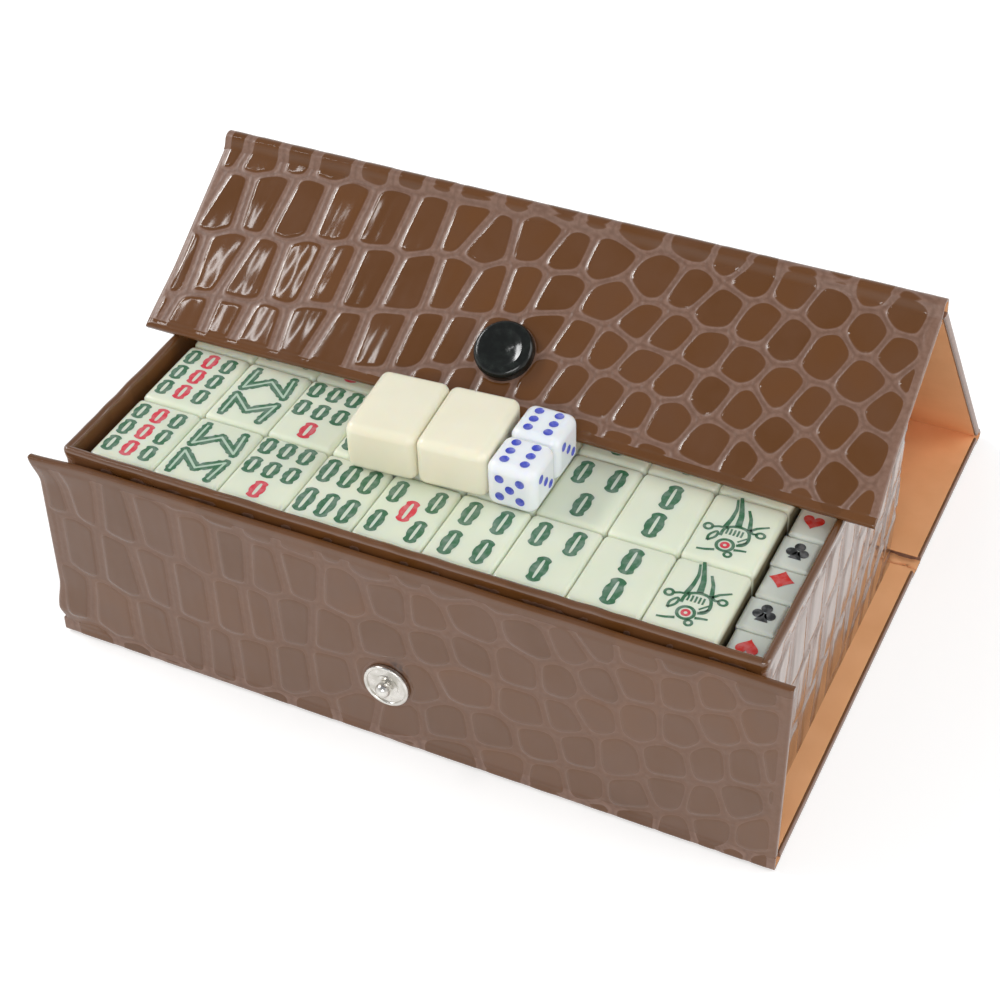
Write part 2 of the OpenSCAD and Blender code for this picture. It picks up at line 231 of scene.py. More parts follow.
def pebbles(u, v):
    """1 on the small cells between scales, 0 on the lines between them."""
    cell = 2.1
    p, q = u / cell, v / cell
    away = []
    for j in (-1, 0, 1):
        for i in (-1, 0, 1):
            cell_p, cell_q = np.floor(p) + i, np.floor(q) + j
            jitter = 0.35 * scale_jitter[cell_p.astype(int) % table_size,
                                         cell_q.astype(int) % table_size]
            away.append(cell * np.hypot(cell_p + 0.5 + jitter[..., 0] - p,
                                        cell_q + 0.5 + jitter[..., 1] - q))
    first, second = np.partition(np.stack(away), 1, axis=0)[:2]
    return smooth(0.25, 0.7, second - first)


def crocodile(u, v):
    """The embossed scales at a place on the unrolled sheet, in millimetres.

    u runs along the case from its left end, v from the fold at the top of
    the lid flap towards that flap's free edge. Tall scales at the left turn
    into small round ones at the right. Gives the relief in millimetres,
    measured inwards, a value that rises across a scale's edge and is 0.5 on
    it, the scale's own random value, and how near the place is to the middle
    of a groove."""
    v = sheet_repeat - np.abs(np.mod(v + sheet_repeat, 4 * sheet_repeat)
                              - 2 * sheet_repeat)
    small = smooth(32, 100, u)
    row_h = 14.6 - 5.4 * small
    column_w = 8.9 - 0.5 * small
    slant = 0.06 + 0.36 * smooth(55, 120, u)
    line = 22.5 - 0.13 * u + 0.0033 * np.clip(u - 70, 0, None) ** 2
    p = (u + slant * 45 * np.tanh((v - 22) / 45)) / column_w
    q = (v - line) / row_h
    base_q = np.floor(q)
    away, steps = [], []
    for j in (-2, -1, 0, 1, 2):
        for i in (-2, -1, 0, 1, 2):
            cell_q = base_q + j
            table_q = (cell_q.astype(int) + 32) % table_size
            shift = row_shift[table_q] + 0.5 * (table_q % 2)
            cell_p = np.floor(p - shift) + i
            jitter = scale_jitter[(cell_p.astype(int) + 8) % table_size, table_q]
            seed_p = cell_p + 0.5 + shift + 0.2 * jitter[..., 0]
            seed_q = cell_q + 0.5 + (0.05 + 0.1 * small) * jitter[..., 1]
            step = np.stack([(seed_p - p) * column_w, (seed_q - q) * row_h], -1)
            away.append((step ** 2).sum(-1))
            steps.append(np.concatenate([step, jitter[..., 2:]], -1))
    away, steps = np.stack(away), np.stack(steps)
    nearest = away.argmin(0)
    own = np.take_along_axis(steps, nearest[None, :, None], 0)[0]
    own_away = np.take_along_axis(away, nearest[None], 0)[0]
    apart = steps[..., :2] - own[..., :2]
    length = np.sqrt((apart ** 2).sum(-1))
    length[length < 1e-6] = 1e9
    edge = (away - own_away) / (2 * length)
    edge[length > 1e8] = 1e3
    column_side = (apart[..., 0] / length) ** 2
    groove_w = 0.68 - 0.08 * small + (0.67 - 0.6 * small) * column_side
    blend = 2.4 - 0.9 * small
    inside = -np.log(np.exp(-blend * (edge - groove_w)).sum(0)) / blend
    middle = edge.min(0)
    height = smooth(-0.4, 0.3, inside)
    tilt = (own[..., 0] * own[..., 2] + own[..., 1] * own[..., 3]) * 0.022
    dome = 0.012 * np.clip(inside, 0, 3.5)
    wave = (0.04 * np.sin(u / 7.1 + 0.4 * v) * np.sin(v / 5.3 + 1.7 + u / 19)
            + 0.012 * np.sin(u * 2.1 + 0.2 * v + 9 * own[..., 5]))
    ridge = 0.05 * smooth(0.3, 0.05, middle)
    relief = (0.3 - ridge) * (1 - height) + height * (tilt - dome + wave)
    scale = np.clip(inside / 1.6 + 0.5, 0, 1)
    corner = np.partition(edge, 1, axis=0)[1]
    pebble = pebbles(u, v) * smooth(1.3, 0.85, corner) * small * (1 - height)
    relief = relief - 0.1 * pebble
    scale = np.maximum(scale, 0.25 * smooth(0, 0.6, pebble))
    return relief, scale, own[..., 4], smooth(0.45, 0.1, middle)


def crocodile_in_strips(u, v):
    """The same, worked out in strips to spare memory."""
    parts = [crocodile(a, b) for a, b in
             zip(np.array_split(u, 12), np.array_split(v, 12))]
    return [np.concatenate(column) for column in zip(*parts)]


class Panel:
    """Where a panel lies: its fold axis, its direction and its inner side."""

    def __init__(self, axis, turn, inner_sign):
        self.axis = axis
        self.along = (math.cos(turn), math.sin(turn))
        self.inner = (-math.sin(turn) * inner_sign, math.cos(turn) * inner_sign)

    def place(self, x, y, z):
        """Points in metres for panel coordinates in millimetres."""
        return np.stack([x,
                         self.axis[0] + self.along[0] * y + self.inner[0] * z,
                         self.axis[1] + self.along[1] * y + self.inner[1] * z],
                        -1) * MM


front_flap = Panel((front_axis_y, axis_z), front_flap_turn, -1)
bottom = Panel((front_axis_y, axis_z), 0, 1)
back = Panel((back_axis_y, axis_z), 0, 1)
lid = Panel((far_axis_y, axis_z), lid_turn, 1)
lid_flap = Panel((far_y, far_z), lid_flap_turn, 1)


def read_points(piece):
    points = np.empty(len(piece.data.vertices) * 3)
    piece.data.vertices.foreach_get("co", points)
    return points.reshape(-1, 3)


def write_points(piece, points):
    piece.data.vertices.foreach_set("co", np.ascontiguousarray(points).ravel())
    piece.data.update()


def paint_emboss(piece, scale, own, middle):
    """Keeps the relief as a colour attribute that the skin's finish reads."""
    paint = piece.data.color_attributes.new("emboss", "FLOAT_COLOR", "POINT")
    colours = np.stack([scale, own * 0.5 + 0.5, middle, np.ones_like(scale)], -1)
    paint.data.foreach_set("color", colours.ravel())


def use_only(piece):
    bpy.ops.object.select_all(action="DESELECT")
    piece.select_set(True)
    bpy.context.view_layer.objects.active = piece


def new_grid(name, columns, rows, size=1):
    bpy.ops.mesh.primitive_grid_add(x_subdivisions=columns, y_subdivisions=rows,
                                    size=size)
    piece = bpy.context.object
    piece.name = name
    return piece


def edit(operation, **options):
    """Runs a mesh operation on the whole active piece."""
    bpy.ops.object.mode_set(mode="EDIT")
    bpy.ops.mesh.select_all(action="SELECT")
    operation(**options)
    bpy.ops.object.mode_set(mode="OBJECT")


def edit_open_edge(operation):
    """Runs a mesh operation on the active piece's open edge."""
    bpy.ops.object.mode_set(mode="EDIT")
    bpy.ops.mesh.select_all(action="DESELECT")
    bpy.ops.mesh.select_non_manifold()
    operation()
    bpy.ops.object.mode_set(mode="OBJECT")


def point_out(piece):
    use_only(piece)
    edit(bpy.ops.mesh.normals_make_consistent, inside=False)


def smooth_faces(angle):
    """Shades the active piece smooth, except at edges sharper than this."""
    bpy.ops.object.shade_smooth_by_angle(angle=math.radians(angle))


def thicken(piece, depth, offset, edge_material=0):
    """Makes a solid of an open sheet, by a depth in millimetres."""
    thick = piece.modifiers.new("thickness", "SOLIDIFY")
    thick.thickness = depth * MM
    thick.offset = offset
    thick.material_offset = edge_material
    use_only(piece)
    bpy.ops.object.modifier_apply(modifier="thickness")


# inset from a free edge, inset from a groove, and height of each ring that
# turns the skin round the board's edge and in to the lining; the last ring
# closes the piece under the lining and stays flat
turn_in = [(0.7, 0.0, -1.05), (0.34, 0.0, -0.98), (0.1, 0.0, -0.76),
           (0.0, 0.0, -0.42), (0.0, 0.0, 0.42), (0.1, 0.0, 0.76),
           (0.3, 0.05, 0.98), (0.5, 0.2, 1.05), (border_w, 0.4, 1.05),
           (border_w, 0.4, -0.3)]
first_inner_ring = 6
last_ring = len(turn_in) - 1
# middle of the relief, which skin without scales keeps
plain_relief = 0.22


def covered_panel(name, panel, y0, y1, grain, sheet_v, free_end, flat_spot=None,
                  shape=None, depth=1.0):
    """A board in its skin: the outer face is a fine grid that takes the
    relief, and its open edge is extruded ring by ring round the board."""
    piece = new_grid(name, int(width / grain), int((y1 - y0) / grain))
    grid = read_points(piece)[:, :2] * 2
    kept = piece.data.attributes.new("flat", "FLOAT_VECTOR", "POINT")
    kept.data.foreach_set("vector", np.column_stack(
        [grid, np.zeros(len(grid))]).ravel())
    counts = [len(grid)]
    for _ in turn_in[1:]:
        edit_open_edge(bpy.ops.mesh.extrude_region_move)
        counts.append(len(piece.data.vertices))
    edit_open_edge(bpy.ops.mesh.edge_face_add)
    flat = np.empty(counts[-1] * 3)
    piece.data.attributes["flat"].data.foreach_get("vector", flat)
    flat = flat.reshape(-1, 3)
    ring_of = np.searchsorted(np.array(counts), np.arange(counts[-1]), "right")
    free, fold, level = np.array(turn_in)[ring_of].T
    x = flat[:, 0] * (width / 2 - free)
    low = y0 + fold
    high = y1 - (free if free_end else fold)
    y = low + (flat[:, 1] + 1) / 2 * (high - low)
    z = level.copy()
    relief, scale, own, middle = crocodile_in_strips(x + width / 2, sheet_v(y))
    hem = smooth(1.0, 2.2, width / 2 - np.abs(x))
    lip = smooth(2.3, 1.5, y1 - y) * free_end
    hem = hem * (1 - lip)
    if flat_spot:
        spot_x, spot_y, spot_r = flat_spot
        hem = hem * smooth(spot_r, spot_r + 1.0, np.hypot(x - spot_x, y - spot_y))
    relief = plain_relief + (relief - plain_relief) * hem * depth
    on_face = ring_of == 0
    z[on_face] += relief[on_face]
    z[ring_of == 1] += 0.2
    z[ring_of == 2] += 0.12
    if shape is not None:
        x, y, bent = shape(x, y, z)
        z = np.where(ring_of < last_ring, bent, z)
    write_points(piece, panel.place(x, y, z))
    piece.data.attributes.remove(piece.data.attributes["flat"])
    turned_in = ring_of >= first_inner_ring
    paint_emboss(piece, np.maximum(np.maximum(scale * hem * on_face, lip), turned_in),
                 own, middle * hem)
    point_out(piece)
    smooth_faces(50)
    piece.data.materials.append(crocodile_skin.owner)
    return piece


def lining_sheet(name, panel, y0, y1, free_end, shape=None):
    """The orange sheet glued inside the turned-in skin, a little uneven."""
    piece = new_grid(name, 100, 40)
    grid = read_points(piece)[:, :2] * 2
    x = grid[:, 0] * (width / 2 - border_w)
    low, high = y0 - 0.4, (y1 - border_w if free_end else y1 + 0.4)
    y = low + (grid[:, 1] + 1) / 2 * (high - low)
    inset = np.minimum(width / 2 - border_w - np.abs(x),
                       np.minimum(y - low, high - y))
    z = 1.1 + 0.07 * smooth(0, 1.5, inset) * (
        np.sin(x / 9 + 1.3 * np.sin(y / 11)) * np.sin(y / 7 + 0.6))
    if shape is not None:
        x, y, z = shape(x, y, z)
    write_points(piece, panel.place(x, y, z))
    inward = np.array([0, *panel.inner])
    facing = float(np.array(piece.data.polygons[0].normal) @ inward)
    thicken(piece, 0.22, -1 if facing > 0 else 1)
    point_out(piece)
    smooth_faces(40)
    piece.data.materials.append(orange_lining.owner)
    return piece


def skin_finish(name, groove_share, coat):
    """Glossy brown plastic: dark smooth scales, paler dull grooves with a fine
    ribbed texture, and a darker line along the middle of the grooves."""
    finish = new_finish(name)
    emboss = finish.node("Attribute", attribute_name="emboss").outputs["Color"]
    scale, own, middle = finish.node("SeparateColor", {0: emboss}).outputs
    on_scale = finish.spread(scale, 0.42, 0.58)
    scale_brown = finish.mottled(
        finish.noise(90), 0.35, 0.7,
        finish.between(own, (0.112, 0.041, 0.009), (0.145, 0.055, 0.015)),
        (0.132, 0.055, 0.022))
    ribs = finish.noise(900, 2)
    groove_brown = finish.between(
        finish.spread(middle, 0, 1, 0, 0.5),
        finish.mottled(ribs, 0.3, 0.7, (0.185, 0.098, 0.064), (0.24, 0.14, 0.1)),
        (0.12, 0.058, 0.034))
    to_scale = finish.spread(on_scale, 0, 1, 1 - groove_share, 1)
    finish.look({"Base Color": finish.between(to_scale, groove_brown, scale_brown),
                 "Roughness": finish.spread(on_scale, 0, 1, 0.36, 0.085),
                 "Specular IOR Level": 0.5,
                 "Coat Weight": coat, "Coat Roughness": 0.2})
    in_groove = finish.spread(on_scale, 0, 1, 1, 0)
    finish.bump(finish.calculate("MULTIPLY", ribs, in_groove), 0.35, 0.0002)
    return finish


crocodile_skin = skin_finish("crocodile_skin", 1.0, 0.0)

# Orange lining: thin coloured sheet over board, matte, with faint mottling.
orange_lining = new_finish("orange_lining")
orange_lining.look({
    "Base Color": orange_lining.mottled(orange_lining.noise(120, 4), 0.3, 0.7,
                                        (0.84, 0.43, 0.2), (0.9, 0.48, 0.235)),
    "Roughness": 0.45, "Specular IOR Level": 0.35})
orange_lining.bump(orange_lining.noise(1400, 2), 0.2, 0.0001)


# ---- Front flap ----------------------------------------------------------
# The panel that stands in front of the tray, a little warped at its left end,
# with the stud riveted through it. The skin is hazy outside, and worn dark
# beside the stud.
def flap_shape(x, y, z):
    """The skin flares at the corners and the left end bows outwards."""
    left = smooth(-60, -80.8, x)
    top = smooth(40, 46.6, y)
    low_end = smooth(14, 6, y) * smooth(2.6, 6, y)
    x = x - left * (0.9 * top + 0.5 * low_end - 0.5 * (1 - top) * (1 - low_end))
    z = z - left * left * (0.9 * top + 0.5 * low_end)
    ripple = np.sin(x / 6.3) * np.sin(x / 15.1 + 0.8) * (0.4 + 0.6 * smooth(0, 70, x))
    return x, y, z + 0.28 * smooth(36, 46.6, y) * ripple


skin = covered_panel("front_flap_cover", front_flap, groove, front_flap_len, 0.36,
                     lambda y: fold_v[0] - y, True,
                     flat_spot=(-1.2, 15.3, 5.2), shape=flap_shape, depth=0.65)
hazy_skin = skin_finish("hazy_skin", 0.3, 0.35)
skin.data.materials[0] = hazy_skin.owner
worn_spot = front_flap.place(np.array([0.9]), np.array([19.8]), np.array([-1.05]))[0]
from_worn_spot = hazy_skin.node(
    "VectorMath", {0: hazy_skin.axes["Object"], 1: worn_spot}, operation="DISTANCE")
near = hazy_skin.spread(from_worn_spot.outputs["Value"], 0.0034, 0.0014)
patchy = hazy_skin.spread(hazy_skin.noise(900), 0.35, 0.6)
hazy_skin.tint(hazy_skin.calculate("MULTIPLY", near, patchy), (0.055, 0.024, 0.014))
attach(skin, "front_flap")
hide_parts("front_flap_skin", "front_flap_board")
sheet = lining_sheet("front_flap_inside", front_flap, groove, front_flap_len, True,
                     flap_shape)
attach(sheet, "front_flap")
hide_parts("front_flap_lining")


# ---- Bottom panel --------------------------------------------------------
# The widest board, flat on the table, which the tray is glued to.
skin = covered_panel("bottom_cover", bottom, groove, bottom_len - groove, 0.8,
                     lambda y: fold_v[0] + y, False)
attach(skin, "tray")
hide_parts("bottom_skin", "bottom_board")
sheet = lining_sheet("bottom_inside", bottom, groove, bottom_len - groove, False)
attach(sheet, "tray")
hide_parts("bottom_lining")


# ---- Back panel ----------------------------------------------------------
# As high as the closed case, lying flat on the table behind the tray.
skin = covered_panel("back_cover", back, groove, back_len - groove, 0.7,
                     lambda y: fold_v[1] + y, False)
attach(skin, "back_panel")
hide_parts("back_skin", "back_board")
sheet = lining_sheet("back_inside", back, groove, back_len - groove, False)
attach(sheet, "back_panel")
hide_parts("back_lining")


# ---- Lid -----------------------------------------------------------------
# Leans forward over the tray, as large as the bottom panel.
skin = covered_panel("lid_cover", lid, groove, lid_len - groove, 0.6,
                     lambda y: fold_v[2] + y, False)
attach(skin, "lid")
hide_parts("lid_skin", "lid_board")
sheet = lining_sheet("lid_inside", lid, groove, lid_len - groove, False)
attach(sheet, "lid")
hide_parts("lid_lining")


# ---- Lid flap ------------------------------------------------------------
# Hangs from the lid and rests on the tray's rims, with the black cap of the
# press stud on its outside.
def lid_flap_shape(x, y, z):
    """The free edge bends forward towards its ends, and flares a little."""
    end = smooth(66, 80.8, np.abs(x))
    edge = smooth(30, 44.6, y)
    forward = 0.4 + smooth(18, 80, x) + smooth(-12, -80, x)
    return x + np.sign(x) * 0.6 * end * edge, y + forward * edge, z - 0.25 * end * edge


skin = covered_panel("lid_flap_cover", lid_flap, groove, lid_flap_len + 0.3, 0.33,
                     lambda y: fold_v[3] + y, True, flat_spot=(-1.2, 31.5, 6.0),
                     shape=lid_flap_shape)
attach(skin, "lid_flap")
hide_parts("lid_flap_skin", "lid_flap_board")
sheet = lining_sheet("lid_flap_inside", lid_flap, groove, lid_flap_len, True,
                     lid_flap_shape)
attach(sheet, "lid_flap")
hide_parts("lid_flap_lining")


# ---- Folds ---------------------------------------------------------------
# Between two boards the skin and the lining lie directly on each other, in
# a supple strip round the fold.
def fold_strip(name, axis, from_turn, to_turn, sheet_v, node,
               bulge=0.0, depth=1.0):
    """A strip round a fold axis. It leaves the first panel along from_turn
    and reaches the second along to_turn; its outer side is the bend's
    outside, on the first panel's clockwise side. Each station is the part of
    the strip (first panel, bend, second panel), the reach from the axis and
    the share of the bend."""
    bend = from_turn + math.pi - to_turn
    bend = (bend + math.pi) % (2 * math.pi) - math.pi
    columns, straight, round_steps = 322, 5, 10
    tuck = groove + 0.2
    stations = [(0, tuck - k * tuck / straight, 0.0) for k in range(straight)]
    stations += [(1, 0.0, k / round_steps) for k in range(round_steps + 1)]
    stations += [(2, (k + 1) * tuck / straight, 1.0) for k in range(straight)]
    piece = new_grid(name, columns, len(stations) - 1)
    grid = read_points(piece)
    x = grid[:, 0] * width
    row = np.rint((grid[:, 1] + 0.5) * (len(stations) - 1)).astype(int)
    part, reach, share = np.array(stations)[row].T
    run = np.where(part == 0, -reach, np.where(part == 2, reach, 0))
    run = run + (share - 0.5) * abs(bend) * 1.05 * (part == 1)
    relief, scale, own, middle = crocodile_in_strips(x + width / 2, sheet_v + run)
    hem = smooth(1.0, 2.2, width / 2 - np.abs(x))
    seam = smooth(groove - 1.6, groove - 0.1, reach)
    strength = (0.25 + 0.75 * seam) * np.where(part == 0, depth, 1)
    relief = plain_relief + (relief - plain_relief) * hem * strength
    swell = bulge * np.cos(math.pi / 2 * np.clip(reach / groove, 0, 1)) ** 2
    radius = panel_t / 2 - relief - 0.04 * (reach > groove - 0.01) + swell
    first = from_turn + math.pi / 2
    out_angle = first - bend * share
    along = np.where(part == 2, to_turn, from_turn)
    outer = np.stack([np.cos(out_angle), np.sin(out_angle)], -1)
    lead = np.stack([np.cos(along), np.sin(along)], -1)
    yz = np.array(axis) + lead * reach[:, None] + outer * radius[:, None]
    write_points(piece, np.column_stack([x, yz]) * MM)
    paint_emboss(piece, scale * hem, own, middle * hem)
    use_only(piece)
    away = np.array([0, *outer[0]])
    if float(np.array(piece.data.polygons[0].normal) @ away) < 0:
        piece.data.flip_normals()
    piece.data.materials.append(crocodile_skin.owner)
    piece.data.materials.append(orange_lining.owner)
    thicken(piece, 0.55, -1, edge_material=1)
    smooth_faces(60)
    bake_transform(piece)
    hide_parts(node)


fold_strip("back_groove", (back_axis_y, axis_z), math.pi, 0,
           fold_v[1], "back_fold")
fold_strip("far_groove", (far_axis_y, axis_z), math.pi, lid_turn,
           fold_v[2], "lid_fold")
fold_strip("top_groove", (far_y, far_z), lid_turn + math.pi, lid_flap_turn,
           fold_v[3], "flap_fold", bulge=1.3)
fold_strip("front_groove", (front_axis_y, axis_z), front_flap_turn, 0,
           fold_v[0], "front_fold", depth=0.65)


# ---- Press stud ----------------------------------------------------------
# A black enamelled cap with its socket in the lid flap, and a nickel-plated
# stud with its eyelet in the front flap.
def dress(names, finish):
    """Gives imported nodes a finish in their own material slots."""
    for name in names:
        for slot in nodes[name].material_slots:
            slot.material = finish.owner


enamel = new_finish("black_enamel")
specks = enamel.noise(700, 4)
enamel.look({"Base Color": enamel.mottled(specks, 0.45, 0.75, (0.006, 0.007, 0.006),
                                          (0.012, 0.016, 0.013)),
             "Roughness": enamel.spread(specks, 0.3, 0.8, 0.1, 0.22),
             "Specular IOR Level": 0.4})
dress(["snap_cap"], enamel)

nickel = new_finish("nickel")
tarnish = nickel.noise(500, 4)
nickel.look({"Base Color": nickel.mottled(tarnish, 0.4, 0.75, (0.72, 0.7, 0.66),
                                          (0.52, 0.5, 0.45)),
             "Roughness": nickel.spread(tarnish, 0.35, 0.75, 0.22, 0.42),
             "Metallic": 1.0})
dress(["snap_socket", "snap_stud", "snap_eyelet"], nickel)


# ---- Tray ----------------------------------------------------------------
# Four upright boards round a floor, wrapped in the same skin: embossed
# outside, over the rim, and plain inside.
tray_w = 150.68
tray_d = 86.48
wall_t = 1.8
floor_z = panel_t
floor_top = 4.0
rim_z = 50.0
rim_r = wall_t / 2
corner_r = 1.4
grid_step = 0.75
outer_rows = 63


def tray_outline():
    """Places round the tray's outside, each with its inward direction and
    the distance along the wall."""
    half_w, half_d = tray_w / 2, tray_d / 2
    corners = [(half_w, -half_d, -90), (half_w, half_d, 0),
               (-half_w, half_d, 90), (-half_w, -half_d, 180)]
    places = []
    for index, (cx, cy, turn) in enumerate(corners):
        centre = (cx - math.copysign(corner_r, cx), cy - math.copysign(corner_r, cy))
        for k in range(6):
            angle = math.radians(turn + 90 * k / 5)
            places.append((*centre, math.cos(angle), math.sin(angle)))
        nx, ny, _ = corners[(index + 1) % 4]
        next_centre = (nx - math.copysign(corner_r, nx),
                       ny - math.copysign(corner_r, ny))
        gap = math.dist(centre, next_centre)
        steps = int(gap / grid_step)
        for k in range(1, steps):
            share = k / steps
            places.append((centre[0] + (next_centre[0] - centre[0]) * share,
                           centre[1] + (next_centre[1] - centre[1]) * share,
                           math.cos(angle), math.sin(angle)))
    places.append(places[0])
    return np.array(places)


outline = tray_outline()
# the wall's section, as insets and heights: up the outside, over the rim and
# down inside to the floor, then back to the start under the wall
walls = [(0.0, floor_z + k * grid_step) for k in range(outer_rows)]
walls += [(rim_r - rim_r * math.cos(math.pi * k / 8),
           rim_z - rim_r + rim_r * math.sin(math.pi * k / 8)) for k in range(9)]
walls += [(wall_t, rim_z - rim_r - k * (rim_z - rim_r - floor_top) / 5)
          for k in range(1, 6)]
walls += [(wall_t, floor_z), (0.0, floor_z)]
walls = np.array(walls)
wrap = new_grid("tray_walls", len(outline) - 1, len(walls) - 1)
grid = read_points(wrap)
column = np.rint((grid[:, 0] + 0.5) * (len(outline) - 1)).astype(int)
row = np.rint((grid[:, 1] + 0.5) * (len(walls) - 1)).astype(int)
cx, cy, nx, ny = outline[column].T
inset, z = walls[row].T
reach = np.maximum(corner_r - inset, 0)
over = np.maximum(inset - corner_r, 0)
x = cx + nx * reach - np.sign(cx) * over * (np.abs(nx) > 1e-6)
y = cy + ny * reach - np.sign(cy) * over * (np.abs(ny) > 1e-6)
step = np.hypot(*np.diff(outline[:, :2] + outline[:, 2:] * corner_r, axis=0).T)
length = np.concatenate([[0], np.cumsum(step)])[column]
relief, scale, own, middle = crocodile_in_strips(
    np.mod(length + 4, 161), 46 - z * 0.9)
outside = (row < outer_rows) * smooth(1.6, 3.2, rim_z - z) * smooth(0, 1.2, z - floor_z)
sunk = relief * outside
creases = np.sin(length / 1.9 + 2 * np.sin(length / 7)) * np.sin(length / 11 + z)
z = z - 0.1 * (1 + creases) * smooth(rim_z - 1.2, rim_z - 0.3, z)
write_points(wrap, np.column_stack([x - nx * sunk, y - ny * sunk, z]) * MM)
paint_emboss(wrap, scale * outside + 1 - outside, own, middle * outside)
use_only(wrap)
edit(bpy.ops.mesh.remove_doubles, threshold=0.01 * MM)
point_out(wrap)
smooth_faces(50)
wrap.data.materials.append(skin_finish("tray_skin", 0.7, 0.8).owner)
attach(wrap, "tray")
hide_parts("tray_wrap", "tray_front_wall", "tray_back_wall",
            "tray_left_wall", "tray_right_wall")
dress(["tray_floor_paper"], orange_lining)

grey_board = new_finish("grey_board")
fibres = grey_board.noise(800, 5)
grey_board.look({"Base Color": grey_board.mottled(fibres, 0.3, 0.7, (0.3, 0.28, 0.24),
                                                  (0.4, 0.38, 0.33)),
                 "Roughness": 0.9})
grey_board.bump(fibres, 0.3, 0.0001)
dress(["tray_floor"], grey_board)


# ---- Tiles ---------------------------------------------------------------
# Moulded from pale resin with softly rounded edges, packed four deep. The
# top layer is the bamboo suit.
def resin(name, first, second):
    finish = new_finish(name)
    finish.look({"Base Color": finish.mottled(finish.noise(60), 0.35, 0.65, first, second),
                 "Roughness": 0.22, "Specular IOR Level": 0.45,
                 "Subsurface Weight": 0.5, "Subsurface Scale": 0.6,
                 "Subsurface Radius": (0.004, 0.003, 0.002)})
    finish.bump(finish.noise(260, 2), 0.08, 0.0002)
    return finish


# The last column's sides are in the shade of the narrow slot beside them.
tile_resin = resin("tile_resin", (0.72, 0.77, 0.61), (0.78, 0.81, 0.65))
place = tile_resin.node("SeparateXYZ", {0: tile_resin.axes["Object"]}).outputs
beside_slot = tile_resin.calculate("MULTIPLY",
                                   tile_resin.spread(place["X"], 0.0639, 0.0642),
                                   tile_resin.spread(place["Z"], 0.0474, 0.0462))
tile_resin.tint(beside_slot, (0.2, 0.17, 0.1))
tile_w, tile_d, tile_h = 15.0, 20.0, 11.0
tile_r = 1.3
step_x, step_y = 15.06, 20.06
tile_columns, tile_rows = 9, 4
tiles_x0, tiles_y0 = -71.14, -40.64
tiles_top = 48.0
row_y = [tiles_y0 + row * step_y + tile_d / 2 for row in range(tile_rows)]


def centre_x(column):
    return tiles_x0 + column * step_x + tile_w / 2


def rounded_block(name, size, radius, segments):
    """A block with all its edges and corners rounded."""
    bpy.ops.mesh.primitive_cube_add(size=1)
    piece = bpy.context.object
    piece.name = name
    write_points(piece, read_points(piece) * np.array(size) * MM)
    edit(bpy.ops.mesh.bevel, offset=radius * MM, segments=segments, profile=0.5,
         affect="EDGES")
    smooth_faces(40)
    return piece


def own_copy(piece):
    """A copy that has a mesh of its own."""
    copy = piece.copy()
    copy.data = piece.data.copy()
    bpy.context.collection.objects.link(copy)
    return copy


def join(pieces, name):
    bpy.ops.object.select_all(action="DESELECT")
    for piece in pieces:
        piece.select_set(True)
    bpy.context.view_layer.objects.active = pieces[0]
    if len(pieces) > 1:
        bpy.ops.object.join()
    whole = bpy.context.object
    whole.name = name
    return whole


def copies(pattern, places, name):
    """Copies of a finished piece at places in millimetres, joined as one."""
    made = []
    for place in places:
        copy = own_copy(pattern)
        write_points(copy, read_points(copy) + np.array(place) * MM)
        made.append(copy)
    whole = join(made, name)
    whole.data.name = name
    bpy.data.objects.remove(pattern)
    return whole


tile = rounded_block("tile", (tile_w, tile_d, tile_h), tile_r, 4)
tile.data.materials.append(tile_resin.owner)
places = [(centre_x(column), y, tiles_top - tile_h / 2)
          for column in range(tile_columns) for y in row_y]
tiles = copies(tile, places, "bamboo_layer")
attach(tiles, "tray")
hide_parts("bamboo_tiles")
dress(["circle_tiles", "character_tiles", "honour_tiles"], tile_resin)


# The bamboo signs are cut into the faces and filled with paint: outlined
# sticks in green and red, zigzags for eight and a bird for one.
def paint_finish(name, colour):
    """Paint that has worn a little paler in places."""
    finish = new_finish(name)
    worn = tuple(0.72 * part + 0.16 for part in colour)
    finish.look({"Base Color": finish.mottled(finish.noise(700), 0.4, 0.75, colour, worn),
                 "Roughness": 0.3})
    return finish


green_paint = paint_finish("green_paint", (0.04, 0.15, 0.07))
red_paint = paint_finish("red_paint", (0.66, 0.035, 0.06))
pale_line = paint_finish("pale_line", (0.46, 0.6, 0.46))


def write_flat(piece, points):
    """Puts a piece's vertices at points of a plane, in millimetres."""
    write_points(piece, np.column_stack([points, np.zeros(len(points))]) * MM)


def closed_band(name, outer, inner):
    """A flat band between two closed lines of equally many points, in mm."""
    bpy.ops.mesh.primitive_circle_add(vertices=len(outer), radius=1)
    piece = bpy.context.object
    piece.name = name
    edit(bpy.ops.mesh.extrude_region_move)
    write_flat(piece, np.vstack([outer, inner]))
    return piece


def filled(name, outline_points):
    """A flat filled shape from a closed line in mm."""
    bpy.ops.mesh.primitive_circle_add(vertices=len(outline_points), radius=1,
                                      fill_type="NGON")
    piece = bpy.context.object
    piece.name = name
    write_flat(piece, outline_points)
    return piece


def open_band(name, line, widths):
    """A flat band along an open line in mm, with a width at each point."""
    piece = new_grid(name, len(line) - 1, 1, size=2)
    grid = read_points(piece)
    at = np.rint((grid[:, 0] + 1) / 2 * (len(line) - 1)).astype(int)
    run = np.gradient(line, axis=0)
    run /= np.linalg.norm(run, axis=1)[:, None]
    side = np.column_stack([-run[:, 1], run[:, 0]])
    write_flat(piece, line[at] + side[at] * (grid[:, 1] * widths[at] / 2)[:, None])
    return piece


